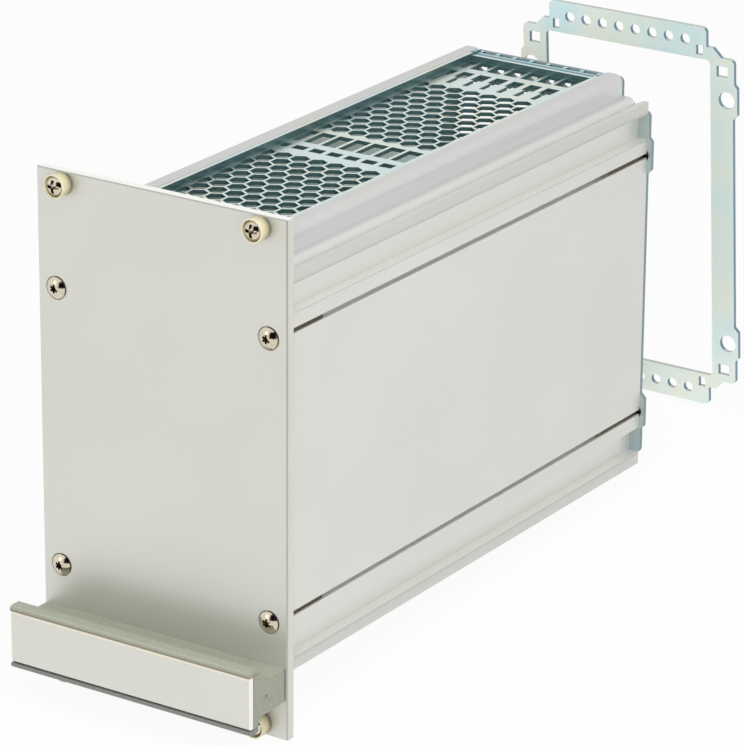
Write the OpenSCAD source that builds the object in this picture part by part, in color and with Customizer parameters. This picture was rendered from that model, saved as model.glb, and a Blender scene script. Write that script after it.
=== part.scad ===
// Frame-type plug-in unit for a rack-mounted card cage: two extruded side walls, perforated covers,
// a front panel with a pull handle and a rear frame. A second rear frame stands behind the unit.
// Millimetres. X is width, Y is depth from the back face of the front panel, Z is up.

/* [Front panel] */
// Width of the front panel
panel_w = 70.8; // [64:0.1:100]
// Height of the front panel
panel_h = 128.4; // [124:0.1:140]
// Thickness of the front panel
panel_t = 2.5; // [2:0.1:4]
// Width of the bevel around the front of the panel
panel_bevel = 0.3; // [0.1:0.1:0.6]
// Distance from the panel's side edge to a collar screw
fix_inset_x = 7.46; // [5:0.01:10]
// Distance from the panel's top or bottom edge to a collar screw
fix_inset_z = 2.95; // [2.95:0.01:3.4]

/* [Side walls] */
// Length of the side walls
wall_len = 164; // [150:1:240]
// Height over the flanges of a side wall
wall_h = 110.4; // [108:0.1:114]
// Step from the panel's edge to the outer face of a side wall
wall_inset = 3.3; // [2:0.1:5]
// Thickness of the wall sections
wall_t = 2.2; // [1.8:0.1:2.6]
// Depth of the long recess under the guide fin
recess_d = 2.8; // [2:0.1:3.2]
// Height of the long recess under the guide fin
recess_h = 6.9; // [5:0.1:8]
// Height of the guide fin
fin_h = 3.2; // [2.5:0.1:4]
// Width of the flat on top of the guide fin
fin_flat = 1.2; // [0.8:0.1:2]
// Step down from the flange to the guide fin
fin_drop = 5.7; // [5.4:0.1:7]
// Depth of the valley between the guide fin and the ledge
valley_d = 1.4; // [0.8:0.1:2]
// Step down from the flange to the ledge
ledge_drop = 5.4; // [5:0.1:5.7]
// Thickness of the ledge
ledge_t = 2.2; // [1.8:0.1:3]
// Width of the ledge outside the flange
ledge_w = 3.7; // [3:0.1:4.2]
// Radius of the ledge's outer edge
ledge_r = 1.6; // [0.8:0.1:1.8]
// Step from the outer face to the flange
flange_inset = 7.9; // [7.5:0.1:9]
// Width of the flange
flange_w = 4.7; // [4:0.1:6]
// Radius of the flange's outer edge
flange_r = 2; // [0.8:0.1:2.4]
// Radius of the flange's inner edge
flange_inner_r = 0.5; // [0.2:0.1:1]
// Width of the hollow inside the flange
hollow_w = 1.6; // [1:0.1:2]
// Wall left above the hollow inside the flange
hollow_roof = 1.9; // [1.5:0.1:3]
// Width of the seat that carries a cover
seat_w = 1.6; // [1:0.1:2]
// Thickness of the seat that carries a cover
seat_t = 1.4; // [1:0.1:2]
// Height of the screw channels above and below the middle
channel_z = 35.1; // [30:0.1:36]
// Step from the outer face to the axis of a screw channel
channel_inset = 1.9; // [1.8:0.1:2.4]
// Width of the slot that opens a screw channel
channel_slot = 1.3; // [0.8:0.1:1.8]
// Wall around a screw channel
channel_wall = 1.45; // [1.2:0.05:2]

/* [Covers] */
// Thickness of the cover sheet
sheet_t = 1.0; // [0.8:0.1:1.2]
// Step down from the flange to the cover
cover_drop = 2.2; // [1.8:0.1:3]
// Step down from the flange to the top of a cover's turned-up edges
edge_drop = 0.3; // [0.1:0.1:0.6]
// Gap between a cover and the flanges
cover_gap = 0.1; // [0.05:0.05:0.3]
// Pitch of all the holes across a cover
pitch = 5.08; // [5:0.01:5.5]
// Width of a hexagonal hole across its flats
hex_w = 4.4; // [3:0.1:4.5]
// Edge left between the outer holes and the turned-up edge
hole_margin = 0.2; // [0.1:0.1:0.6]
// Distance from the panel to the first row of hexagons
front_margin = 12.3; // [8:0.1:16]
// Distance from the panel to the row of short slots
short_slot_y = 71.1; // [60:0.1:80]
// Size of a short slot, across and along
short_slot = [3.6, 2.9];
// Size of a long slot, across and along
long_slot = [4.2, 8.7];
// Distance from the front of the short slots to the front of the long slots
long_slot_step = 5.9; // [5:0.1:7]
// Web between the long slots and the second field of hexagons
field_web = 1.9; // [1.2:0.1:3]
// Web between the first field of hexagons and the short slots
strip_web = 3.4; // [2:0.1:5]
// Distance from the rear end to the rear edge of the rectangular slots
rear_slot_back = 5.1; // [5:0.1:7]
// Size of a rectangular rear slot, across and along
rear_slot = [4.1, 6.3];
// Web between the rectangular slots and the bottle-shaped slots
bottle_web = 3.1; // [2:0.1:4]
// Size of the wide part of a bottle-shaped slot, across and along
bottle_body = [3.5, 5.0];
// Size of the neck of a bottle-shaped slot, across and along
bottle_neck = [1.5, 5.6];
// Distance from the rear end to the step up in the cover
step_back = 4; // [3:0.1:4.5]
// Step down from the flange to the shelf at the rear of a cover
shelf_drop = 0.7; // [0.5:0.1:1]
// Size of a notch in the shelf, across and along
shelf_notch = [3.9, 1.8];

/* [Rear frame] */
// Thickness of the rear frame
frame_t = 1.2; // [1:0.1:2.5]
// Step down from the flange to the top edge of the rear frame
frame_drop = 0.8; // [0.2:0.1:1.5]
// Height of the rear frame's bars
bar_h = 8.8; // [8:0.1:9.4]
// How far the rear frame's bars stand out past the flanges
bar_out = 0; // [-0.6:0.1:0.8]
// Width of the rear frame's upright sides
upright_w = 6.8; // [6:0.1:7.5]
// Radius at the corners of the rear frame's opening
opening_r = 1.2; // [0.5:0.1:3]
// Radius at the outer corners of the rear frame
frame_r = 1.4; // [0.5:0.1:2]
// Step down from the flange to the rear frame's neck
neck_drop = 6; // [5:0.1:6.5]
// Step down from the flange to the rear frame's shoulder
shoulder_drop = 8.5; // [7.6:0.1:9]
// Length of the flat on the neck of the rear frame
neck_flat = 2; // [1:0.1:2.2]
// How far a shoulder of the rear frame stands out past the side wall
shoulder_out = 0.4; // [0.1:0.1:0.8]
// How far an ear of the rear frame stands out past the side wall
ear_out = 1.3; // [1:0.1:2]
// Height of the straight edge of an ear
ear_h = 7.6; // [6:0.1:10]
// Diameter of the round holes in the bars
bar_hole_d = 2.9; // [2:0.1:3.6]
// Distance from the top edge of a bar to its round holes
bar_hole_drop = 4; // [3:0.1:5]
// Diameter of the screw holes in the rear frame
frame_hole_d = 4.8; // [3.2:0.1:5]
// Size of the square hole in each shoulder of the second rear frame
shoulder_hole = [3.3, 3];
// Place of a shoulder hole: in from the side wall's outer face, up from the screw
shoulder_hole_at = [3.2, 7.9];
// Size of the small slot at each end of a bar
end_slot = [2, 2.7];
// Place of an end slot: in from the bar's end, down from the bar's edge
end_slot_at = [2.1, 6.4];

/* [Second rear frame] */
// Distance from the mounted rear frame to the second one
loose_gap = 46.2; // [20:0.1:80]
// Height of the second rear frame above the mounted one
loose_lift = 3.1; // [0:0.1:8]
// Lean of the second rear frame towards the unit, in degrees
loose_lean = 4.6; // [0:0.1:8]

/* [Handle] */
// Step from the panel's side edge to the handle's end
handle_inset = 0.6; // [0.2:0.1:4]
// Depth of the handle in front of the panel
handle_d = 14.5; // [12:0.1:20]
// Distance from the panel's bottom edge up to the handle's bottom
handle_up = 6.4; // [6.2:0.1:8]
// Height of the handle's front
handle_h = 16; // [15:0.1:20]
// Thickness of the handle's front
handle_front_t = 3.4; // [2.6:0.1:4.5]
// Distance from the handle's bottom up to its underside
underside_up = 3.6; // [3.4:0.1:5]
// Thickness of the handle where it meets the panel
root_t = 8.3; // [7.6:0.1:8.6]
// Radius of the finger groove
groove_r = 6; // [5:0.1:7]
// Radius under the handle, behind its front
under_r = 2.5; // [1:0.1:2.5]
// Radius of the handle's front corners
handle_r = 0.8; // [0.4:0.1:0.9]
// Height of the strip on the handle
strip_h = 13.1; // [10:0.1:13.3]
// Gap between the strip and the handle's lower lip
strip_gap = 0.3; // [0.1:0.1:0.5]
// Thickness of the strip on the handle
strip_t = 1.3; // [0.8:0.1:1.6]
// Width of the bevel around the front of the strip
strip_bevel = 0.2; // [0.1:0.1:0.4]
// How far the handle's lips stand in front of the strip
lip_proud = 0.2; // [0.1:0.1:0.6]
// Diameter of the small dimple in each end of the handle
dimple_d = 1.8; // [0.8:0.1:2.4]
// Distance from the middle of the finger groove forward to the dimple
dimple_ahead = 2.6; // [0:0.1:4]
// Depth of the small dimple in each end of the handle
dimple_deep = 0.4; // [0.2:0.1:1]
// Width and depth of the reliefs at each end of the handle, against the panel and behind the strip
end_relief = 0.4; // [0.2:0.1:0.8]
// Distance between the two handle screws
handle_screw_pitch = 40; // [20:1:50]

/* [Fasteners] */
// Diameter of the collar screws' studs
stud_d = 2.5; // [2:0.1:3]
// Diameter of a collar screw's neck, inside the sleeve
stud_neck_d = 2; // [1.6:0.1:2.2]
// Length of a stud behind the panel
stud_len = 3.5; // [2:0.5:12]
// Diameter of a collar sleeve
sleeve_d = 5.8; // [5.4:0.1:5.8]
// Length of a collar sleeve in front of the panel
sleeve_len = 3.5; // [3.4:0.1:5]
// Gap between a collar sleeve's wide part and the panel
sleeve_gap = 0.4; // [0.2:0.1:0.6]
// Diameter of a collar sleeve inside the panel
sleeve_neck_d = 4; // [3.8:0.1:4.4]
// Wall of a collar sleeve around the screw's head
sleeve_wall = 0.3; // [0.25:0.05:0.45]
// Gap around a collar screw's head
collar_gap = 0.15; // [0.05:0.05:0.3]
// Height of a collar screw's head
collar_head_h = 2.4; // [1.8:0.1:2.6]
// Height of the dome on a collar screw's head
collar_dome = 1.1; // [0.4:0.1:1.4]
// How far a collar screw's head stands out of its sleeve
head_proud = 0.5; // [0:0.1:0.6]
// Diameter of the panel, rear and handle screws
screw_d = 2.8; // [2.4:0.1:3]
// Length of a panel or rear screw under its head
screw_len = 20; // [12:1:30]
// Diameter of a panel screw's head
head_d = 5.3; // [5:0.1:6]
// Height of a panel screw's head above the panel
head_h = 1.2; // [0.8:0.1:1.6]
// Height of the straight rim of a panel screw's head
head_rim = 0.2; // [0.1:0.1:0.4]
// Depth of the groove in the panel around the head of a panel screw
head_groove = 0.8; // [0.2:0.1:0.9]
// Gap around a panel screw's head
head_gap = 0.3; // [0.15:0.05:0.35]
// Diameter of a rear screw's head
rear_head_d = 5.6; // [5.4:0.1:6]
// Height of a rear screw's head
rear_head_h = 1; // [0.8:0.1:2]
// Length of a handle screw
handle_screw_len = 8; // [6:0.5:10]
// Diameter of a handle screw's head
sunk_head_d = 5.6; // [5:0.1:6]
// Depth of the recess in a screw's head
recess_deep = 1.1; // [0.6:0.1:1.3]
// Recess of a collar or handle screw: number of blades through it
cross_blades = 2; // [1:1:3]
// Recess of a collar or handle screw: width of a blade
cross_blade_w = 0.8; // [0.5:0.1:1.2]
// Recess of a collar or handle screw: length of a blade
cross_span = 3.2; // [2:0.1:3.4]
// Recess of a panel or rear screw: number of blades through it
star_blades = 3; // [2:1:4]
// Recess of a panel or rear screw: width of a blade
star_blade_w = 0.6; // [0.4:0.1:0.8]
// Recess of a panel or rear screw: length of a blade
star_span = 2.2; // [1.6:0.1:3]
// Clearance around every shank, sleeve, sunk head and strip
fit = 0.05; // [0.02:0.01:0.1]

/* [Hidden] */
$fn = 64;
// A cut runs this far past the face that it opens
past = 1;

aluminium = [0.86, 0.86, 0.84];
zinc = [0.80, 0.85, 0.83];
grey_green = [0.64, 0.65, 0.59];
cream = [0.87, 0.84, 0.71];
nickel = [0.75, 0.72, 0.66];

// Front panel
fix_x = panel_w / 2 - fix_inset_x;
fix_z = panel_h / 2 - fix_inset_z;

// Side walls, upper right quarter
wall_x = panel_w / 2 - wall_inset;
flange_z = wall_h / 2;
fin_z = flange_z - fin_drop;
recess_top_z = fin_z - fin_h;
recess_low_z = recess_top_z - recess_h;
recess_x = wall_x - recess_d;
web_x = recess_x - wall_t;
valley_z = fin_z - valley_d;
ledge_z = flange_z - ledge_drop;
ledge_low_z = ledge_z - ledge_t;
flange_x = wall_x - flange_inset;
flange_in_x = flange_x - flange_w;
ledge_x = flange_x + ledge_w;
channel_x = wall_x - channel_inset;
channel_d = screw_d + 2 * fit;

// Covers
cover_top_z = flange_z - cover_drop;
cover_low_z = cover_top_z - sheet_t;
edge_z = flange_z - edge_drop;
cover_x = flange_in_x - cover_gap;
edge_in_x = cover_x - sheet_t;
hole_x = edge_in_x - hole_margin;
shelf_z = flange_z - shelf_drop;
step_y = wall_len - step_back;
row_pitch = pitch * sqrt(3) / 2;
hex_tip = hex_w / sqrt(3);
even_columns = 2 * floor(hole_x / pitch + 0.5);
odd_columns = 2 * floor((hole_x - hex_w / 2) / pitch) + 1;
field_1_end = short_slot_y - strip_web;
field_1_rows = floor((field_1_end - hex_tip - front_margin) / row_pitch) + 1;
field_1_start = field_1_end - hex_tip - (field_1_rows - 1) * row_pitch;
long_slot_y = short_slot_y + long_slot_step;
rear_slot_y = wall_len - rear_slot_back - rear_slot[1];
bottle_y = rear_slot_y - bottle_web - bottle_body[1];
field_2_start = long_slot_y + long_slot[1] + field_web + hex_tip;
field_2_rows = floor((bottle_y - bottle_neck[1] - field_web - hex_tip - field_2_start) / row_pitch) + 1;

// Rear frame
bar_half = flange_x + bar_out;
opening_half = wall_x - upright_w;
frame_z = flange_z - frame_drop;
neck_z = flange_z - neck_drop;
shoulder_z = flange_z - shoulder_drop;
opening_z = frame_z - bar_h;
neck_x = bar_half + neck_flat;
slope_x = neck_x + neck_z - shoulder_z;
shoulder_x = wall_x + shoulder_out;
ear_x = wall_x + ear_out;
rear_y = wall_len + frame_t;

// Handle, seen from its right end, with y and z as the sheet's axes
panel_y = -panel_t;
handle_front_y = panel_y - handle_d;
handle_z = handle_up - panel_h / 2;
handle_top_z = handle_z + handle_h;
under_z = handle_z + underside_up;
root_z = under_z + root_t;
handle_len = panel_w - 2 * handle_inset;
strip_room_h = strip_h + strip_gap;
strip_top_z = handle_z + (handle_h + strip_room_h) / 2;
strip_z = strip_top_z - strip_h;
strip_back_y = handle_front_y + lip_proud + strip_t;
groove_y = handle_front_y + handle_front_t
  + sqrt(pow(groove_r, 2) - pow(groove_r + root_z - handle_top_z, 2));
handle_screw_z = under_z + root_t / 2;

// Fasteners
collar_top = sleeve_len + head_proud;
head_seat = collar_top - collar_head_h;
collar_head_d = sleeve_d - 2 * sleeve_wall - 2 * collar_gap;

// Placing helpers
module mirrored_x() {
  children();
  mirror([1, 0, 0]) children();
}

module mirrored_z() {
  children();
  mirror([0, 0, 1]) children();
}

module mirrored_2d() {
  children();
  mirror([0, 1]) children();
}

module four_2d() {
  mirrored_2d() children();
  mirror([1, 0]) mirrored_2d() children();
}

// A child drawn along +Z turns to point out of the panel's front, from its front face
module out_of_front(x, z) {
  translate([x, panel_y, z]) rotate([90, 0, 0]) children();
}

// A child drawn along +Z turns to point out of the back, from the given depth
module out_of_back(x, y, z) {
  translate([x, y, z]) rotate([-90, 0, 0]) children();
}

module box_2d(x0, y0, x1, y1) {
  translate([x0, y0]) square([x1 - x0, y1 - y0]);
}

// Sheet standing across the depth: the drawing's axes are x and z
module standing(y0, thick) {
  translate([0, y0 + thick, 0]) rotate([90, 0, 0]) linear_extrude(thick) children();
}

// Upright box with one or both of its upper corners round
module capped_2d(x0, y0, x1, y1, r0, r1) {
  box_2d(x0, y0, x1, y1 - max(r0, r1));
  box_2d(x0 + r0, y0, x1 - r1, y1);
  box_2d(x1 - r1, y0, x1, y1 - r1);
  translate([x1 - r1, y1 - r1]) circle(r1);
  if (r0 > 0) {
    box_2d(x0, y0, x0 + r0, y1 - r0);
    translate([x0 + r0, y1 - r0]) circle(r0);
  }
}

// Plate across the depth, from its front y, with its front edges bevelled
module bevelled_plate(w, z0, z1, y, thick, bevel) {
  intersection() {
    translate([0, 0, z0]) linear_extrude(z1 - z0) {
      polygon([[-w / 2, y + thick], [-w / 2, y + bevel], [bevel - w / 2, y],
               [w / 2 - bevel, y], [w / 2, y + bevel], [w / 2, y + thick]]);
    }
    along_x(w) {
      polygon([[y + thick, z0], [y + bevel, z0], [y, z0 + bevel],
               [y, z1 - bevel], [y + bevel, z1], [y + thick, z1]]);
    }
  }
}

// Room for a screw along +Z whose sunk head lies level with zero
module sunk_room(head) {
  translate([0, 0, -panel_t - past]) cylinder(d = screw_d + 2 * fit, h = panel_t + 2 * past);
  sunk_cone(head, fit);
}

// Front panel
module front_panel() {
  color(aluminium) difference() {
    bevelled_plate(panel_w, -panel_h / 2, panel_h / 2, panel_y, panel_t, panel_bevel);
    standing(panel_y - past, panel_t + 2 * past) {
      four_2d() translate([fix_x, fix_z]) circle(d = sleeve_neck_d + 2 * fit);
    }
    mirrored_x() mirrored_z() out_of_front(channel_x, channel_z) {
      sunk_room(head_d);
      translate([0, 0, -head_groove]) cylinder(d = head_d + 2 * head_gap, h = head_groove + past);
    }
    mirrored_x() out_of_back(handle_screw_pitch / 2, 0, handle_screw_z) sunk_room(sunk_head_d);
  }
}

// Side walls: one extrusion each, drawn as its upper half and mirrored
module wall_half_2d() {
  box_2d(wall_x - wall_t, 0, wall_x, recess_low_z);
  box_2d(web_x, recess_low_z - wall_t, wall_x, recess_low_z);
  box_2d(web_x, recess_low_z - wall_t, recess_x, valley_z);
  polygon([[web_x, recess_top_z], [wall_x, recess_top_z], [wall_x, fin_z], [wall_x - fin_flat, fin_z],
           [ledge_x, valley_z], [web_x, valley_z]]);
  capped_2d(flange_in_x, ledge_low_z, ledge_x, ledge_z, flange_inner_r, ledge_r);
  capped_2d(flange_in_x, ledge_low_z, flange_x, flange_z, flange_inner_r, flange_r);
  box_2d(flange_in_x - seat_w, cover_low_z - seat_t, flange_in_x, cover_low_z);
  intersection() {
    translate([channel_x, channel_z]) circle(channel_d / 2 + channel_wall);
    box_2d(0, 0, wall_x, flange_z);
  }
}

module wall_cuts_2d() {
  hollow_x = (flange_x + flange_in_x) / 2;
  translate([channel_x, channel_z]) circle(d = channel_d);
  box_2d(channel_x, channel_z - channel_slot / 2, wall_x + past, channel_z + channel_slot / 2);
  box_2d(hollow_x - hollow_w / 2, ledge_low_z - past, hollow_x + hollow_w / 2, flange_z - hollow_roof);
}

module side_wall_right() {
  color(aluminium) standing(0, wall_len) difference() {
    mirrored_2d() wall_half_2d();
    mirrored_2d() wall_cuts_2d();
  }
}

module side_wall_left() {
  mirror([1, 0, 0]) side_wall_right();
}

// Covers: a sheet tray with turned-up edges, a step and a notched shelf at the rear
function column_x(i, columns) = (i - (columns - 1) / 2) * pitch;

// Keeps a hole's corner inside the flat of the cover
function kept(x) = max(-hole_x, min(hole_x, x));

module hexagon_hole(x, y) {
  left = kept(x - hex_w / 2);
  right = kept(x + hex_w / 2);
  polygon([[x, y - hex_tip], [right, y - hex_tip / 2], [right, y + hex_tip / 2],
           [x, y + hex_tip], [left, y + hex_tip / 2], [left, y - hex_tip / 2]]);
}

module slot_row(y, size) {
  for (i = [0 : even_columns - 1]) {
    x = column_x(i, even_columns);
    box_2d(kept(x - size[0] / 2), y, kept(x + size[0] / 2), y + size[1]);
  }
}

// Rows alternate, and the last row of a field is a wide one
module hexagon_field(start, rows) {
  for (row = [0 : rows - 1]) {
    columns = (rows - 1 - row) % 2 == 0 ? even_columns : odd_columns;
    for (i = [0 : columns - 1]) {
      hexagon_hole(column_x(i, columns), start + row * row_pitch);
    }
  }
}

module bottle_row() {
  neck_y = bottle_y - bottle_neck[1];
  body_y = bottle_y + bottle_body[1];
  for (i = [0 : even_columns - 1]) {
    x = column_x(i, even_columns);
    left = kept(x - bottle_body[0] / 2);
    right = kept(x + bottle_body[0] / 2);
    neck_left = kept(x - bottle_neck[0] / 2);
    neck_right = kept(x + bottle_neck[0] / 2);
    polygon([[neck_left, neck_y], [neck_right, neck_y], [neck_right, bottle_y], [right, bottle_y],
             [right, body_y], [left, body_y], [left, bottle_y], [neck_left, bottle_y]]);
  }
}

module cover_flat_2d() {
  difference() {
    box_2d(-edge_in_x, 0, edge_in_x, step_y);
    hexagon_field(field_1_start, field_1_rows);
    slot_row(short_slot_y, short_slot);
    slot_row(long_slot_y, long_slot);
    hexagon_field(field_2_start, field_2_rows);
    bottle_row();
    slot_row(rear_slot_y, rear_slot);
  }
}

// Turned-up edge with the round of its bend
module cover_edge_2d() {
  box_2d(edge_in_x, cover_top_z, cover_x, edge_z);
  translate([edge_in_x, cover_top_z]) intersection() {
    circle(sheet_t);
    box_2d(0, -sheet_t, sheet_t, 0);
  }
}

module top_cover() {
  color(zinc) {
    translate([0, 0, cover_low_z]) linear_extrude(sheet_t) cover_flat_2d();
    mirrored_x() standing(0, wall_len) cover_edge_2d();
    standing(step_y - sheet_t, sheet_t) box_2d(-edge_in_x, cover_low_z, edge_in_x, shelf_z);
    translate([0, 0, shelf_z - sheet_t]) linear_extrude(sheet_t) difference() {
      box_2d(-edge_in_x, step_y - sheet_t, edge_in_x, wall_len);
      for (i = [0 : odd_columns - 1]) {
        x = column_x(i, odd_columns);
        box_2d(x - shelf_notch[0] / 2, wall_len - shelf_notch[1], x + shelf_notch[0] / 2, wall_len + past);
      }
    }
  }
}

module bottom_cover() {
  mirror([0, 0, 1]) top_cover();
}

// Rear frame: one punched plate, the same in all four quarters
function flipped(points) = [for (i = [len(points) - 1 : -1 : 0]) [points[i][0], -points[i][1]]];
function turned(points) = [for (p = points) [-p[0], -p[1]]];

module frame_outline_2d() {
  ear_top = channel_z + ear_h / 2;
  ear_low = channel_z - ear_h / 2;
  quarter = [[bar_half, frame_z], [bar_half, neck_z], [neck_x, neck_z], [slope_x, shoulder_z],
             [shoulder_x, shoulder_z], [shoulder_x, ear_top + ear_x - shoulder_x], [ear_x, ear_top],
             [ear_x, ear_low], [wall_x, ear_low + wall_x - ear_x]];
  right = concat(quarter, flipped(quarter));
  polygon(concat(right, turned(right)));
}

// What a rounded corner at x, y takes away from a sharp one
module corner_cut_2d(x, y, r) {
  translate([x - r, y - r]) difference() {
    square(r + past);
    circle(r);
  }
}

module frame_opening_2d() {
  difference() {
    square([2 * opening_half, 2 * opening_z], center = true);
    four_2d() corner_cut_2d(opening_half, opening_z, opening_r);
  }
}

module frame_holes_2d() {
  translate([channel_x, channel_z]) circle(d = frame_hole_d);
  translate([bar_half - end_slot_at[0], frame_z - end_slot_at[1]]) square(end_slot, center = true);
}

module shoulder_hole_2d() {
  translate([wall_x - shoulder_hole_at[0], channel_z + shoulder_hole_at[1]])
    square(shoulder_hole, center = true);
}

module frame_plate(y) {
  standing(y, frame_t) difference() {
    frame_outline_2d();
    four_2d() corner_cut_2d(bar_half, frame_z, frame_r);
    four_2d() corner_cut_2d(shoulder_x, shoulder_z, frame_r);
    frame_opening_2d();
    four_2d() frame_holes_2d();
    mirrored_2d() for (i = [0 : even_columns - 1]) {
      translate([column_x(i, even_columns), frame_z - bar_hole_drop]) circle(d = bar_hole_d);
    }
  }
}

module rear_frame() {
  color(zinc) frame_plate(wall_len);
}

module second_rear_frame() {
  color(zinc) translate([0, rear_y + loose_gap, loose_lift]) rotate([loose_lean, 0, 0]) difference() {
    frame_plate(0);
    standing(-past, frame_t + 2 * past) four_2d() shoulder_hole_2d();
  }
}

// Handle
module along_x(len) {
  translate([-len / 2, 0, 0]) rotate([90, 0, 90]) linear_extrude(len) children();
}

module handle_2d() {
  front_back_y = handle_front_y + handle_front_t;
  difference() {
    union() {
      box_2d(handle_front_y, under_z, panel_y, handle_top_z - handle_r);
      box_2d(handle_front_y + handle_r, under_z, panel_y, handle_top_z);
      box_2d(handle_front_y, handle_z + handle_r, front_back_y, under_z);
      box_2d(handle_front_y + handle_r, handle_z, front_back_y - handle_r, under_z);
      translate([handle_front_y + handle_r, handle_top_z - handle_r]) circle(handle_r);
      translate([handle_front_y + handle_r, handle_z + handle_r]) circle(handle_r);
      translate([front_back_y - handle_r, handle_z + handle_r]) circle(handle_r);
      difference() {
        box_2d(front_back_y, under_z - under_r, front_back_y + under_r, under_z);
        translate([front_back_y + under_r, under_z - under_r]) circle(under_r);
      }
    }
    translate([groove_y, root_z + groove_r]) circle(groove_r);
    box_2d(groove_y, root_z, panel_y + past, handle_top_z + past);
    translate([handle_front_y - past, strip_z - strip_gap - fit])
      square([strip_back_y - handle_front_y + past, strip_room_h + 2 * fit]);
  }
}

module handle() {
  color(grey_green) difference() {
    along_x(handle_len) handle_2d();
    mirrored_x() translate([handle_screw_pitch / 2, panel_y, handle_screw_z]) rotate([90, 0, 0]) {
      translate([0, 0, -past]) cylinder(d = screw_d + 2 * fit, h = handle_screw_len - panel_t + 2 * past);
    }
    mirrored_x() translate([handle_len / 2, groove_y - dimple_ahead, handle_screw_z]) rotate([0, 90, 0]) {
      translate([0, 0, -dimple_deep]) cylinder(d = dimple_d, h = dimple_deep + past);
    }
    mirrored_x() translate([handle_len / 2 - end_relief, panel_y - end_relief, handle_z - past]) {
      cube([end_relief + past, end_relief + past, handle_h + 2 * past]);
    }
    mirrored_x() translate([handle_len / 2 - end_relief, strip_back_y - past, strip_z - strip_gap - fit]) {
      cube([end_relief + past, end_relief + past, strip_room_h + 2 * fit]);
    }
  }
}

module handle_strip() {
  color(aluminium) bevelled_plate(handle_len, strip_z, strip_top_z, strip_back_y - strip_t, strip_t,
                                  strip_bevel);
}

// Fasteners, drawn along +Z with the seat or the sunk head's edge at zero
module drive_recess(top, blades, blade_w, span) {
  for (blade = [0 : blades - 1]) {
    rotate(blade * 180 / blades) translate([-blade_w / 2, -span / 2, top - recess_deep]) {
      cube([blade_w, span, recess_deep + past]);
    }
  }
}

// The cone under a sunk head, with a gap around it
module sunk_cone(head, gap) {
  depth = (head - screw_d) / 2;
  translate([0, 0, -depth]) cylinder(d1 = screw_d + 2 * gap, d2 = head + 2 * gap, h = depth);
}

// A round head that bulges from its rim to its crown
module domed_head(d, h, rim) {
  bulge = h - rim;
  crown_r = (pow(d / 2, 2) + pow(bulge, 2)) / (2 * bulge);
  rotate_extrude() {
    box_2d(0, 0, d / 2, rim);
    intersection() {
      translate([0, h - crown_r]) circle(crown_r);
      box_2d(0, rim, d / 2, h);
    }
  }
}

module panel_screw() {
  color(nickel) difference() {
    union() {
      domed_head(head_d, head_h, head_rim);
      sunk_cone(head_d, 0);
      translate([0, 0, -screw_len]) cylinder(d = screw_d, h = screw_len);
    }
    drive_recess(head_h, star_blades, star_blade_w, star_span);
  }
}

module rear_screw() {
  color(nickel) difference() {
    union() {
      domed_head(rear_head_d, rear_head_h, rear_head_h / 2);
      translate([0, 0, -screw_len]) cylinder(d = screw_d, h = screw_len);
    }
    drive_recess(rear_head_h, star_blades, star_blade_w, star_span);
  }
}

module handle_screw() {
  color(nickel) difference() {
    union() {
      sunk_cone(sunk_head_d, 0);
      translate([0, 0, -handle_screw_len]) cylinder(d = screw_d, h = handle_screw_len);
    }
    drive_recess(0, cross_blades, cross_blade_w, cross_span);
  }
}

module collar_screw() {
  color(nickel) difference() {
    union() {
      translate([0, 0, head_seat]) domed_head(collar_head_d, collar_head_h, collar_head_h - collar_dome);
      translate([0, 0, -panel_t]) cylinder(d = stud_neck_d, h = panel_t + head_seat);
      translate([0, 0, -panel_t - stud_len]) cylinder(d = stud_d, h = stud_len);
    }
    drive_recess(collar_top, cross_blades, cross_blade_w, cross_span);
  }
}

module collar_sleeve() {
  color(cream) rotate_extrude() difference() {
    union() {
      capped_2d(0, sleeve_gap, sleeve_d / 2, sleeve_len, 0, sleeve_wall / 2);
      box_2d(0, -panel_t, sleeve_neck_d / 2, sleeve_gap);
    }
    box_2d(-past, -panel_t - past, stud_neck_d / 2 + fit, sleeve_len + past);
    box_2d(-past, head_seat, sleeve_d / 2 - sleeve_wall, sleeve_len + past);
  }
}

module collar_place(side, row) {
  out_of_front(side * fix_x, row * fix_z) children();
}

module panel_screws() {
  mirrored_x() mirrored_z() out_of_front(channel_x, channel_z) panel_screw();
}

module rear_screws() {
  mirrored_x() mirrored_z() out_of_back(channel_x, rear_y, channel_z) rear_screw();
}

module handle_screws() {
  mirrored_x() out_of_back(handle_screw_pitch / 2, 0, handle_screw_z) handle_screw();
}

front_panel();
side_wall_left();
side_wall_right();
top_cover();
bottom_cover();
rear_frame();
second_rear_frame();
handle();
handle_strip();
collar_place(-1, 1) collar_sleeve();  // collar_sleeve_upper_left
collar_place(1, 1) collar_sleeve();  // collar_sleeve_upper_right
collar_place(-1, -1) collar_sleeve();  // collar_sleeve_lower_left
collar_place(1, -1) collar_sleeve();  // collar_sleeve_lower_right
collar_place(-1, 1) collar_screw();  // collar_screw_upper_left
collar_place(1, 1) collar_screw();  // collar_screw_upper_right
collar_place(-1, -1) collar_screw();  // collar_screw_lower_left
collar_place(1, -1) collar_screw();  // collar_screw_lower_right
panel_screws();
rear_screws();
handle_screws();
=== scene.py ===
"""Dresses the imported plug-in unit frame: finishes, studio light, floor and the photograph's camera."""

import math

import bpy
from mathutils import Matrix, Vector

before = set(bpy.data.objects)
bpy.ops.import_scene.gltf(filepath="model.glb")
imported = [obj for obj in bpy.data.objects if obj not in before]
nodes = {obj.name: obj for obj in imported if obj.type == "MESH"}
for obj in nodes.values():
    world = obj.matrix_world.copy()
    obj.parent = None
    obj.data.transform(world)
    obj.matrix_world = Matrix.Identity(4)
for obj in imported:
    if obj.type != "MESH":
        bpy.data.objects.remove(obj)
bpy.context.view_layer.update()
scene = bpy.context.scene

X, Y, Z = range(3)


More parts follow.
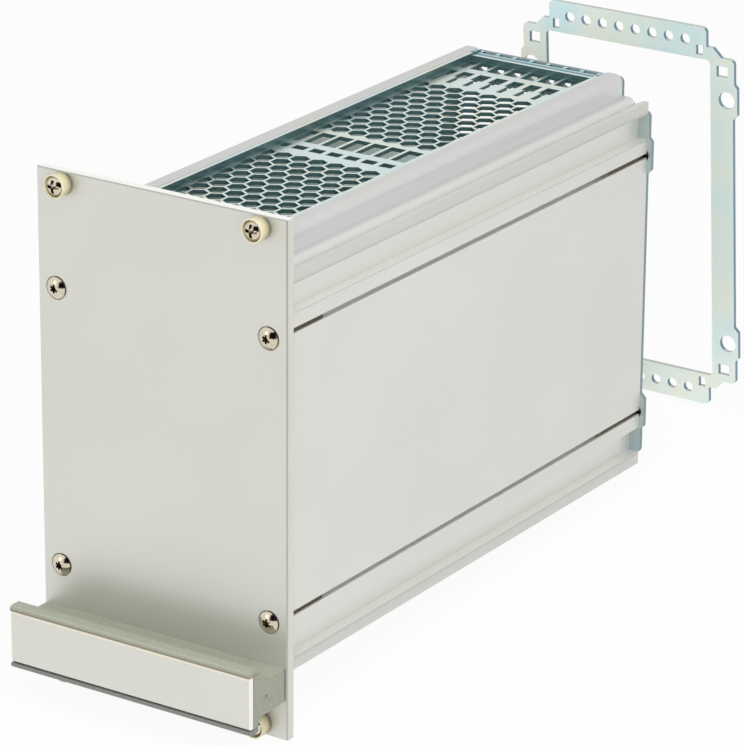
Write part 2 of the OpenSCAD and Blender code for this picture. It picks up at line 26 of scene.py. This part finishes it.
def span(name, axis):
    """The lowest and highest place of a piece along an axis."""
    piece = nodes[name]
    places = [(piece.matrix_world @ v.co)[axis] for v in piece.data.vertices]
    return min(places), max(places)


# Camera, fitted to the photograph: metres, degrees and pixels
CAMERA_AT = Vector((0.57353, -0.78142, 0.38321))
YAW = math.radians(33.478)
PITCH = math.radians(20.565)
ROLL = math.radians(0.411)
FOCAL_PX = 4459.0
IMAGE_W = 744
SENSOR_MM = 36
CLIP_START = 0.05

# Places read from the frame
OUTER_X = span("side_wall_right", X)[1]
WALL_END = span("side_wall_right", Y)[1]
FLANGE_Z = span("side_wall_right", Z)[1]
PANEL_LOW = span("front_panel", Z)[0]
STRIP_LOW, STRIP_TOP = span("handle_strip", Z)
COVER_END = span("top_cover", Y)[1]

# Section of the walls: steps down from the flange, and in from the outer face to the ledge's edge
CROWN_Z = FLANGE_Z - 0.0020
LEDGE_Z = FLANGE_Z - 0.0054
FIN_TOP_Z = FLANGE_Z - 0.0057
VALLEY_Z = FLANGE_Z - 0.0071
FIN_LOW_Z = FLANGE_Z - 0.0089
RECESS_LOW_Z = FLANGE_Z - 0.0158
LEDGE_X = OUTER_X - 0.0041
# Heights of the screw channels, and the depths between which they turn from painted light to painted shade
CHANNEL_Z = (0.0333, 0.0369)
CHANNEL_DEPTH = (0.0028, 0.0042)
# Height up to which the walls' inside faces take the painted inside light
INSIDE_Z = FLANGE_Z - 0.0087
# Where the covers step up to their rear shelf
SHELF_Y = COVER_END - 0.0040
SHELF_Z = FLANGE_Z - 0.0016
# Places along a collar between which it gets darker, as painted shade towards the panel
COLLAR_FRONT_Y = -0.0058
COLLAR_FOOT_Y = -0.0030

# Distance over which one tone gives way to the next
SOFT = 0.0001
# Widths of the painted shade line above the handle's strip and of the painted highlight line along its top
SHADE_LINE = 0.0003
HIGHLIGHT_LINE = 0.0007
# Widths of the painted shade lines along the edges of the guide fins and of the upper recess
FIN_EDGE = 0.0010
LIP_EDGE = 0.0003


def linear(rgb):
    """An sRGB colour from 0 to 255, as the linear colour that the shaders take."""
    out = []
    for value in rgb:
        c = value / 255
        out.append(c / 12.92 if c <= 0.04045 else ((c + 0.055) / 1.055) ** 2.4)
    return (*out, 1.0)


def shifted(rgb, by):
    """An sRGB colour made lighter or darker by a number of levels."""
    return tuple(max(0, min(255, c + by)) for c in rgb)


class Finish:
    """A principled material with a few procedural layers in the part's own coordinates."""

    # Shares of the normal along an axis, from which and to which the masks below rise
    EDGE = (0.9, 0.8)
    BEVEL_TOP = (0.95, 0.85)
    BEVEL_FOOT = (0.3, 0.4)
    # Normal times place, in metres, from which and to which a face counts as one that looks inwards
    INWARDS = (-0.004, -0.012)
    # Range in which most of a noise lies
    NOISE_RANGE = (0.3, 0.7)

    def __init__(self, name, rgb, metallic, roughness):
        self.material = bpy.data.materials.new(name)
        self.material.use_nodes = True
        self.tree = self.material.node_tree
        self.bsdf = self.tree.nodes["Principled BSDF"]
        self.bsdf.inputs["Base Color"].default_value = linear(rgb)
        self.bsdf.inputs["Metallic"].default_value = metallic
        self.bsdf.inputs["Roughness"].default_value = roughness

    def node(self, kind, **values):
        """A new node with some of its properties set."""
        made = self.tree.nodes.new(kind)
        for key, value in values.items():
            setattr(made, key, value)
        return made

    def link(self, source, target):
        self.tree.links.new(source, target)

    def noise(self, scale, stretch=(1, 1, 1), detail=2.0):
        """Noise over the part, as a value from 0 to 1."""
        coords = self.node("ShaderNodeTexCoord")
        mapping = self.node("ShaderNodeMapping")
        mapping.inputs["Scale"].default_value = stretch
        texture = self.node("ShaderNodeTexNoise")
        texture.inputs["Scale"].default_value = scale
        texture.inputs["Detail"].default_value = detail
        self.link(coords.outputs["Object"], mapping.inputs["Vector"])
        self.link(mapping.outputs["Vector"], texture.inputs["Vector"])
        return texture.outputs["Fac"]

    def ramp(self, value, stops):
        """A colour ramp through (position, sRGB colour) stops."""
        made = self.node("ShaderNodeValToRGB")
        elements = made.color_ramp.elements
        while len(elements) < len(stops):
            elements.new(0.5)
        for element, (position, rgb) in zip(elements, stops):
            element.position = position
            element.color = linear(rgb)
        self.link(value, made.inputs["Fac"])
        return made.outputs["Color"]

    def grained(self, noise, low, high):
        """A colour that follows a noise from one sRGB colour to another."""
        return self.ramp(noise, list(zip(self.NOISE_RANGE, (low, high))))

    def spread(self, value, low, high):
        """A value from 0 to 1, moved to between low and high."""
        made = self.node("ShaderNodeMapRange")
        made.inputs["To Min"].default_value = low
        made.inputs["To Max"].default_value = high
        self.link(value, made.inputs["Value"])
        return made.outputs["Result"]

    def mask(self, value, start, end):
        """0 where the value has not reached start, and 1 where it is past end."""
        made = self.node("ShaderNodeMapRange")
        made.inputs["From Min"].default_value = start
        made.inputs["From Max"].default_value = end
        self.link(value, made.inputs["Value"])
        return made.outputs["Result"]

    def mixed(self, factor, first, second):
        """The first colour where the factor is 0, and the second, plain or not, where it is 1."""
        made = self.node("ShaderNodeMix", data_type="RGBA")
        self.link(factor, made.inputs[0])
        self.link(first, made.inputs[6])
        if isinstance(second, tuple):
            made.inputs[7].default_value = linear(second)
        else:
            self.link(second, made.inputs[7])
        return made.outputs[2]

    def product(self, first, second):
        made = self.node("ShaderNodeMath", operation="MULTIPLY")
        self.link(first, made.inputs[0])
        self.link(second, made.inputs[1])
        return made.outputs[0]

    def size(self, value):
        """A value without its sign."""
        made = self.node("ShaderNodeMath", operation="ABSOLUTE")
        self.link(value, made.inputs[0])
        return made.outputs[0]

    def normal(self, axis):
        """The surface's normal along an axis."""
        split = self.node("ShaderNodeSeparateXYZ")
        self.link(self.node("ShaderNodeNewGeometry").outputs["Normal"], split.inputs[0])
        return split.outputs[axis]

    def place(self, axis):
        """The place on the piece along an axis."""
        split = self.node("ShaderNodeSeparateXYZ")
        self.link(self.node("ShaderNodeTexCoord").outputs["Object"], split.inputs[0])
        return split.outputs[axis]

    def between(self, value, low, high):
        """1 where the value lies from low to high, and 0 outside."""
        return self.product(self.mask(value, low - SOFT, low), self.mask(value, high + SOFT, high))

    def turned(self, axis, start, end):
        """A mask over the normal along an axis, whatever its sign."""
        return self.mask(self.size(self.normal(axis)), start, end)

    def edge(self, axis):
        """1 on faces that lie along an axis, such as the cut edges of a sheet, and 0 on those across it."""
        return self.turned(axis, *self.EDGE)

    def bevel(self, axis):
        """1 on faces that slant across an axis, and 0 on those that lie along it or across it."""
        return self.product(self.turned(axis, *self.BEVEL_TOP), self.turned(axis, *self.BEVEL_FOOT))

    def inside(self, axis):
        """1 on faces that look towards the middle of the unit along an axis, and 0 elsewhere."""
        return self.mask(self.product(self.normal(axis), self.place(axis)), *self.INWARDS)

    def colour(self, source):
        self.link(source, self.bsdf.inputs["Base Color"])

    def roughness(self, source):
        self.link(source, self.bsdf.inputs["Roughness"])

    def metallic(self, source):
        self.link(source, self.bsdf.inputs["Metallic"])

    def bump(self, value, strength, distance):
        """Fine relief of a height in metres."""
        made = self.node("ShaderNodeBump")
        made.inputs["Strength"].default_value = strength
        made.inputs["Distance"].default_value = distance
        self.link(value, made.inputs["Height"])
        self.link(made.outputs["Normal"], self.bsdf.inputs["Normal"])

    def matt(self):
        """Takes all gloss away."""
        self.bsdf.inputs["Specular IOR Level"].default_value = 0.0

    def dress(self, *names):
        """Gives the material to CAD nodes."""
        for name in names:
            data = nodes[name].data
            data.materials.clear()
            data.materials.append(self.material)


# Satin aluminium: stretch of its grain on a plate and on an extrusion, and the grain's relief
EVEN = (1, 1, 1)
DRAWN = (1, 0.06, 1)
GRAIN_SCALE = 2200
GRAIN_RELIEF = 0.00005
SATIN_ROUGH = (0.4, 0.5)
# Slow changes of tone, by a few levels either way
TONE_SCALE = 26
TONE_STEP = 2


def satin(name, rgb, metallic, stretch):
    """Satin aluminium, with its slightly changing tone."""
    made = Finish(name, rgb, metallic, sum(SATIN_ROUGH) / 2)
    grain = made.noise(GRAIN_SCALE, stretch, detail=3)
    made.roughness(made.spread(grain, *SATIN_ROUGH))
    made.bump(grain, strength=0.05, distance=GRAIN_RELIEF)
    tone = made.noise(TONE_SCALE, detail=1)
    return made, made.grained(tone, shifted(rgb, -TONE_STEP), shifted(rgb, TONE_STEP))


# Front panel: face, a painted highlight on its top edge, and painted shade on its bevels
PANEL_RGB = (216, 216, 208)
PANEL_TOP_HIGHLIGHT_RGB = (247, 247, 242)
PANEL_BEVEL_SHADE_RGB = (184, 184, 180)
# Normal along Z from which and to which a face counts as one that looks up
LOOKS_UP = (0.5, 0.6)


def dress_panel():
    panel, tone = satin("panel_satin", PANEL_RGB, metallic=0.75, stretch=EVEN)
    # Painted highlight on the faces that look up, such as the top edge
    top_highlighted = panel.mixed(panel.mask(panel.normal("Z"), *LOOKS_UP), tone, PANEL_TOP_HIGHLIGHT_RGB)
    # Painted shade on the bevels
    panel.colour(panel.mixed(panel.bevel("Y"), top_highlighted, PANEL_BEVEL_SHADE_RGB))
    panel.dress("front_panel")


# Handle's strip: face, painted highlights on its cut edges, and a painted highlight line along its top
STRIP_RGB = (214, 214, 207)
STRIP_EDGE_HIGHLIGHT_RGB = (238, 236, 226)
STRIP_HIGHLIGHT_LINE_RGB = (236, 230, 211)


def dress_strip():
    strip, tone = satin("strip_satin", STRIP_RGB, metallic=0.45, stretch=EVEN)
    # Painted highlights on the cut edges
    edge_highlighted = strip.mixed(strip.edge("Y"), tone, STRIP_EDGE_HIGHLIGHT_RGB)
    # Painted highlight line along the top
    line_low = STRIP_TOP - HIGHLIGHT_LINE
    painted_line = strip.mask(strip.place("Z"), line_low, line_low + SOFT)
    strip.colour(strip.mixed(painted_line, edge_highlighted, STRIP_HIGHLIGHT_LINE_RGB))
    strip.dress("handle_strip")


# Inside faces of the walls and covers, which show bright through the covers' holes: painted light, a pale
# colour and little metal of their own, though they are the same metal as the rest
INSIDE_PAINTED_LIGHT_RGB = (226, 240, 235)
INSIDE_METAL = 0.1
# Side walls: outer face, and a painted shade line along the edge of the upper recess
WALL_RGB = (215, 215, 210)
WALL_METAL = 0.5
LIP_SHADE_RGB = (200, 200, 195)
# Painted light on the ledge and recess, by the normal along Z, from upright faces to level ones
LEDGE_LIGHT_STOPS = [(0.0, (248, 248, 246)), (0.6, (214, 214, 211)), (1.0, (211, 211, 209))]
RECESS_LIGHT_STOPS = [(0.3, (222, 222, 217)), (0.7, (240, 240, 236))]
# Guide fin from its edge in painted shade on, and a screw channel from its painted shade at depth to its
# painted light at the mouth
FIN_SHADE_STOPS = [(0.4, (190, 189, 184)), (0.9, (203, 203, 198))]
CHANNEL_LIGHT_AND_SHADE_STOPS = [(0.0, (146, 145, 140)), (1.0, (241, 241, 240))]
# Flange: dark and light drawing streaks, painted light at its foot, and painted shade on its rounded top
STREAK_RGBS = ((207, 208, 208), (214, 215, 215))
FOOT_LIGHT_RGB = (220, 221, 221)
CROWN_SHADE_RGB = (205, 205, 203)
STREAK_SCALE = 1000
STREAKED = (1, 0.01, 1)
CROWN_TURN = (0.1, 0.4)


def flange_tone(wall, height, slope):
    """Faint streaks on the flange's upright face, with painted light at its foot and painted shade on its
    top.
    """
    streaks = wall.grained(wall.noise(STREAK_SCALE, STREAKED), *STREAK_RGBS)
    # Painted light at the flange's foot
    face = wall.mixed(wall.mask(height, CROWN_Z, LEDGE_Z), streaks, FOOT_LIGHT_RGB)
    # Painted shade on the rounded top
    return wall.mixed(wall.mask(slope, *CROWN_TURN), face, CROWN_SHADE_RGB)


def dress_walls():
    wall, tone = satin("wall_satin", WALL_RGB, WALL_METAL, stretch=DRAWN)
    height = wall.size(wall.place("Z"))
    reach = wall.size(wall.place("X"))
    slope = wall.size(wall.normal("Z"))
    outer = wall.mask(reach, OUTER_X - SOFT, OUTER_X)
    sunk = wall.mask(reach, OUTER_X, OUTER_X - SOFT)

    # Painted light on the ledge
    within_ledge = wall.mask(reach, LEDGE_X + SOFT, LEDGE_X)
    on_ledge = wall.product(within_ledge, wall.between(height, VALLEY_Z, LEDGE_Z))
    tone = wall.mixed(on_ledge, tone, wall.ramp(slope, LEDGE_LIGHT_STOPS))
    on_flange = wall.mask(height, LEDGE_Z, LEDGE_Z + SOFT)
    tone = wall.mixed(on_flange, tone, flange_tone(wall, height, slope))

    # Painted shade along the guide fin's edge
    on_fin = wall.product(outer, wall.between(height, FIN_LOW_Z + SOFT, FIN_TOP_Z))
    from_edge = wall.mask(height, FIN_LOW_Z, FIN_LOW_Z + FIN_EDGE)
    tone = wall.mixed(on_fin, tone, wall.ramp(from_edge, FIN_SHADE_STOPS))
    # Painted light in the recesses
    in_recess = wall.product(sunk, wall.between(height, RECESS_LOW_Z - SOFT, FIN_LOW_Z + SOFT))
    tone = wall.mixed(in_recess, tone, wall.ramp(slope, RECESS_LIGHT_STOPS))
    # Painted shade line along the edge of the upper recess
    on_lip = wall.product(outer, wall.between(wall.place("Z"), RECESS_LOW_Z - LIP_EDGE, RECESS_LOW_Z))
    tone = wall.mixed(on_lip, tone, LIP_SHADE_RGB)

    # Painted light and shade in the screw channels
    in_channel = wall.product(sunk, wall.between(height, *CHANNEL_Z))
    shallow, deep = CHANNEL_DEPTH
    from_depth = wall.mask(reach, OUTER_X - deep, OUTER_X - shallow)
    tone = wall.mixed(in_channel, tone, wall.ramp(from_depth, CHANNEL_LIGHT_AND_SHADE_STOPS))

    # Painted light on the inside faces
    inside = wall.product(wall.inside("X"), wall.mask(height, INSIDE_Z, INSIDE_Z - SOFT))
    wall.colour(wall.mixed(inside, tone, INSIDE_PAINTED_LIGHT_RGB))
    wall.metallic(wall.spread(inside, WALL_METAL, INSIDE_METAL))
    wall.dress("side_wall_left", "side_wall_right")


# Bright zinc: scales of its patches and of its changes of gloss, and how far the gloss changes
PATCH_SCALE = 38
GLOSS_SCALE = 160
GLOSS_STEP = 0.05


def zinc(name, stops, metallic, rough):
    """Bright zinc, with its bluish and yellowish patches."""
    made = Finish(name, stops[1][1], metallic, rough)
    gloss = made.noise(GLOSS_SCALE, detail=2)
    made.roughness(made.spread(gloss, rough - GLOSS_STEP, rough + GLOSS_STEP))
    return made, made.ramp(made.noise(PATCH_SCALE, detail=2), stops)


# Covers: patches, a painted dark reflection on the folds' upright faces, and painted reflections across the
# rear shelf
SHEET_STOPS = [(0.3, (196, 216, 220)), (0.5, (206, 220, 217)), (0.68, (214, 220, 206))]
SHEET_METAL = 0.85
FOLD_REFLECTION_RGB = (78, 108, 109)
FOLD_METAL = 0.3
SHELF_REFLECTION_STOPS = [
    (0.0, (62, 112, 126)),
    (0.3, (78, 130, 144)),
    (0.42, (196, 226, 234)),
    (0.54, (84, 138, 152)),
    (0.75, (150, 192, 202)),
    (1.0, (206, 226, 228)),
]


def dress_covers():
    sheet, tone = zinc("zinc_sheet", SHEET_STOPS, SHEET_METAL, rough=0.28)
    along = sheet.place("Y")
    raised = sheet.mask(sheet.size(sheet.place("Z")), SHELF_Z, SHELF_Z + SOFT)
    on_shelf = sheet.product(sheet.mask(along, SHELF_Y, SHELF_Y + SOFT), raised)
    # Painted reflections across the rear shelf
    shelf_reflection = sheet.ramp(sheet.mask(along, SHELF_Y, COVER_END), SHELF_REFLECTION_STOPS)
    tone = sheet.mixed(on_shelf, tone, shelf_reflection)
    # Painted dark reflection on the folds' upright faces
    upright = sheet.edge("Z")
    tone = sheet.mixed(upright, tone, FOLD_REFLECTION_RGB)
    # Painted light on the inside faces
    under = sheet.inside("Z")
    sheet.colour(sheet.mixed(under, tone, INSIDE_PAINTED_LIGHT_RGB))
    metal = sheet.spread(upright, SHEET_METAL, FOLD_METAL)
    sheet.metallic(sheet.product(sheet.spread(under, 1.0, INSIDE_METAL), metal))
    sheet.dress("top_cover", "bottom_cover")


# Second rear frame: patches, and painted light and shade on its cut edges, light on level ones and dark on
# upright ones
PLATE_STOPS = [(0.3, (208, 234, 238)), (0.5, (226, 238, 231)), (0.68, (238, 238, 221))]
PLATE_CUT_LIGHT_AND_SHADE_STOPS = [(0.0, (190, 194, 186)), (1.0, (105, 135, 152))]
PLATE_TURN = (0.4, 0.7)
# Mounted rear frame: patches and cut edges, darker than the second frame's as painted shade
FITTED_SHADED_PATCH_STOPS = [(0.3, (158, 177, 183)), (0.5, (166, 181, 181)), (0.68, (174, 183, 174))]
FITTED_CUT_SHADE_RGB = (122, 142, 144)


def dress_frames():
    plate, tone = zinc("zinc_plate", PLATE_STOPS, metallic=0.2, rough=0.4)
    # Painted light and shade on the cut edges
    cut = plate.ramp(plate.turned("X", *PLATE_TURN), PLATE_CUT_LIGHT_AND_SHADE_STOPS)
    plate.colour(plate.mixed(plate.edge("Y"), tone, cut))
    plate.dress("second_rear_frame")
    # The mounted frame is the same zinc, darkened as painted shade
    fitted, tone = zinc("zinc_plate_fitted_shaded", FITTED_SHADED_PATCH_STOPS, metallic=0.3, rough=0.4)
    fitted.colour(fitted.mixed(fitted.edge("Y"), tone, FITTED_CUT_SHADE_RGB))
    fitted.dress("rear_frame")


# Handle: dark and light grain on its sides, painted light on its tops, painted shade on its lower lip, and
# a painted shade line above the strip
HANDLE_RGB = (150, 152, 137)
HANDLE_SIDE_RGBS = ((132, 134, 120), (162, 164, 149))
HANDLE_LIT_TOP_GRAIN_RGBS = ((158, 160, 144), (188, 190, 173))
HANDLE_SHADED_LIP_GRAIN_RGBS = ((112, 114, 109), (136, 138, 133))
HANDLE_SHADE_LINE_RGB = (126, 118, 101)
HANDLE_GRAIN_SCALE = 3600
HANDLE_RELIEF = 0.0003
HANDLE_TURN = (0.3, 0.95)


def dress_handle():
    grip = Finish("handle_grain_and_light", HANDLE_RGB, metallic=0.0, roughness=0.6)
    grain = grip.noise(HANDLE_GRAIN_SCALE, detail=2)
    height = grip.place("Z")
    sides = grip.grained(grain, *HANDLE_SIDE_RGBS)
    tops = grip.grained(grain, *HANDLE_LIT_TOP_GRAIN_RGBS)
    lips = grip.grained(grain, *HANDLE_SHADED_LIP_GRAIN_RGBS)
    # Painted light on the faces that look up
    tone = grip.mixed(grip.mask(grip.normal("Z"), *HANDLE_TURN), sides, tops)
    # Painted shade on the lower lip
    tone = grip.mixed(grip.mask(height, STRIP_LOW, STRIP_LOW - SOFT), tone, lips)
    # Painted shade line above the strip
    painted_line = grip.between(height, STRIP_TOP, STRIP_TOP + SHADE_LINE)
    grip.colour(grip.mixed(painted_line, tone, HANDLE_SHADE_LINE_RGB))
    grip.bump(grain, strength=0.25, distance=HANDLE_RELIEF)
    grip.dress("handle")


# Collar sleeves, from the front end to the panel, darkening towards the panel as painted shade
COLLAR_RGB = (214, 205, 172)
COLLAR_SHADE_STOPS = [(0.0, (222, 214, 184)), (0.5, (206, 197, 162)), (1.0, (150, 140, 106))]


def dress_collars():
    collar = Finish("collar_cream", COLLAR_RGB, metallic=0.0, roughness=0.4)
    # Painted shade towards the panel
    depth = collar.mask(collar.place("Y"), COLLAR_FRONT_Y, COLLAR_FOOT_Y)
    collar.colour(collar.ramp(depth, COLLAR_SHADE_STOPS))
    collar.dress(*[name for name in nodes if name.startswith("collar_sleeve")])


# Screws: heads, and shanks and head rims in painted shade with thread lines 0.5 mm apart
NICKEL_RGB = (214, 205, 184)
HEAD_RGBS = ((208, 199, 178), (220, 211, 190))
SHADED_THREAD_STOPS = [(0.2, (30, 25, 14)), (0.8, (118, 103, 68))]
HEAD_SCALE = 900
THREAD_SCALE = 628
SHADED_SIDE_TURN = (0.3, 0.2)


def dress_screws():
    nickel = Finish("screw_nickel", NICKEL_RGB, metallic=1.0, roughness=0.14)
    threads = nickel.node("ShaderNodeTexWave", bands_direction="Y")
    threads.inputs["Scale"].default_value = THREAD_SCALE
    nickel.link(nickel.node("ShaderNodeTexCoord").outputs["Object"], threads.inputs["Vector"])
    shaded_shank = nickel.ramp(threads.outputs["Fac"], SHADED_THREAD_STOPS)
    head = nickel.grained(nickel.noise(HEAD_SCALE, detail=2), *HEAD_RGBS)
    # Painted shade on the shanks and head rims
    nickel.colour(nickel.mixed(nickel.turned("Y", *SHADED_SIDE_TURN), head, shaded_shank))
    nickel.dress("panel_screws", "rear_screws", "handle_screws")
    nickel.dress(*[name for name in nodes if name.startswith("collar_screw")])


def add_camera():
    """The photograph's camera, turned by its yaw, pitch and roll."""
    flat = Vector((-math.sin(YAW), math.cos(YAW), 0))
    up = Vector((0, 0, 1))
    right = Vector((math.cos(YAW), math.sin(YAW), 0))
    ahead = flat * math.cos(PITCH) - up * math.sin(PITCH)
    rise = up * math.cos(PITCH) + flat * math.sin(PITCH)
    side = right * math.cos(ROLL) + rise * math.sin(ROLL)
    top = rise * math.cos(ROLL) - right * math.sin(ROLL)
    data = bpy.data.cameras.new("camera")
    data.sensor_fit = "HORIZONTAL"
    data.sensor_width = SENSOR_MM
    data.lens = FOCAL_PX / IMAGE_W * SENSOR_MM
    data.clip_start = CLIP_START
    camera = bpy.data.objects.new("camera", data)
    turn = Matrix((side, top, -ahead)).transposed().to_4x4()
    camera.matrix_world = Matrix.Translation(CAMERA_AT) @ turn
    scene.collection.objects.link(camera)
    scene.camera = camera


# Lamps: name, place, aim, size in metres, watts, and whether they show as highlights on metal
LAMPS = [
    ("front_right", (0.9, -1.0, 0.30), (0, 0.08, 0), 0.6, 10.2, False),
    ("above", (0.25, -0.10, 0.60), (0, 0.08, 0), 0.4, 1.85, False),
    ("front_left", (-0.77, -1.19, 0.48), (0, 0, 0), 0.6, 0.7, True),
]


def add_lamp(name, at, aim, size, watts, mirrored):
    """A soft square lamp."""
    data = bpy.data.lights.new(name, "AREA")
    data.shape = "SQUARE"
    data.size = size
    data.energy = watts
    lamp = bpy.data.objects.new(name, data)
    lamp.location = at
    lamp.rotation_euler = (Vector(aim) - Vector(at)).to_track_quat("-Z", "Y").to_euler()
    lamp.visible_glossy = mirrored
    scene.collection.objects.link(lamp)


def shown_plainly(tree):
    """1 for camera, reflected and transmitted rays, and 0 for the rays that light things."""
    paths = tree.nodes.new("ShaderNodeLightPath")
    total = paths.outputs["Is Camera Ray"]
    for name in ("Is Glossy Ray", "Is Transmission Ray"):
        either = tree.nodes.new("ShaderNodeMath")
        either.operation = "MAXIMUM"
        tree.links.new(total, either.inputs[0])
        tree.links.new(paths.outputs[name], either.inputs[1])
        total = either.outputs[0]
    return total


# Strength of the soft light from all around, and of the plain white that shows
AMBIENT = 0.5
PLAIN = 1.0


def add_world():
    """Plain white for the camera and in reflections, and an even soft light for the rest."""
    world = bpy.data.worlds.new("studio")
    scene.world = world
    world.use_nodes = True
    tree = world.node_tree
    tree.nodes.clear()
    output = tree.nodes.new("ShaderNodeOutputWorld")
    mix = tree.nodes.new("ShaderNodeMixShader")
    for socket, strength in ((1, AMBIENT), (2, PLAIN)):
        white = tree.nodes.new("ShaderNodeBackground")
        white.inputs["Color"].default_value = (1, 1, 1, 1)
        white.inputs["Strength"].default_value = strength
        tree.links.new(white.outputs["Background"], mix.inputs[socket])
    tree.links.new(shown_plainly(tree), mix.inputs["Fac"])
    tree.links.new(mix.outputs["Shader"], output.inputs["Surface"])


# The unit stands on the panel's bottom edge and the rear ends of its walls, a hair above the floor
FLOOR_SIZE = 6
FLOOR_GAP = 0.0002
FLOOR_SLOPE = math.atan2(-PANEL_LOW - FLANGE_Z, WALL_END)
FLOOR_RGB = (245, 245, 245)
# Share of plain white in the floor as it shows, the rest being its lit colour and the shadow
FLOOR_WHITE = 0.93


def add_floor():
    """A white floor, which the camera and reflections see mostly as plain white, with a faint shadow."""
    bpy.ops.mesh.primitive_plane_add(size=FLOOR_SIZE, location=(0, 0, PANEL_LOW - FLOOR_GAP))
    floor = bpy.context.object
    floor.name = "floor"
    floor.rotation_euler = (FLOOR_SLOPE, 0, 0)
    paint = Finish("floor_white", FLOOR_RGB, metallic=0.0, roughness=0.9)
    paint.matt()
    white = paint.node("ShaderNodeEmission")
    white.inputs["Strength"].default_value = PLAIN
    mix = paint.node("ShaderNodeMixShader")
    paint.link(paint.spread(shown_plainly(paint.tree), 0.0, FLOOR_WHITE), mix.inputs["Fac"])
    paint.link(paint.bsdf.outputs["BSDF"], mix.inputs[1])
    paint.link(white.outputs["Emission"], mix.inputs[2])
    paint.link(mix.outputs["Shader"], paint.tree.nodes["Material Output"].inputs["Surface"])
    floor.data.materials.append(paint.material)


# Dark cards: side in metres, colour, and the name, place and turn in degrees of each
FLAG_SIZE = 0.30
FLAG_RGB = (12, 12, 12)
FLAGS = [
    ("flag_front", (0.12, -0.34, 0.13), 18),
    ("flag_right", (0.40, -0.17, 0.13), 62),
]


def add_flag(name, at, turn):
    """An upright dark card, which only shows in the metal's reflections."""
    bpy.ops.mesh.primitive_plane_add(size=FLAG_SIZE, location=at)
    flag = bpy.context.object
    flag.name = name
    flag.rotation_euler = (math.radians(90), 0, math.radians(turn))
    paint = Finish(name + "_black", FLAG_RGB, metallic=0.0, roughness=0.9)
    paint.matt()
    flag.data.materials.append(paint.material)
    flag.visible_camera = False
    flag.visible_diffuse = False
    flag.visible_shadow = False


dress_panel()
dress_strip()
dress_walls()
dress_covers()
dress_frames()
dress_handle()
dress_collars()
dress_screws()

add_camera()
add_world()
add_floor()
for lamp_values in LAMPS:
    add_lamp(*lamp_values)
for flag_values in FLAGS:
    add_flag(*flag_values)

scene.view_settings.view_transform = "Standard"
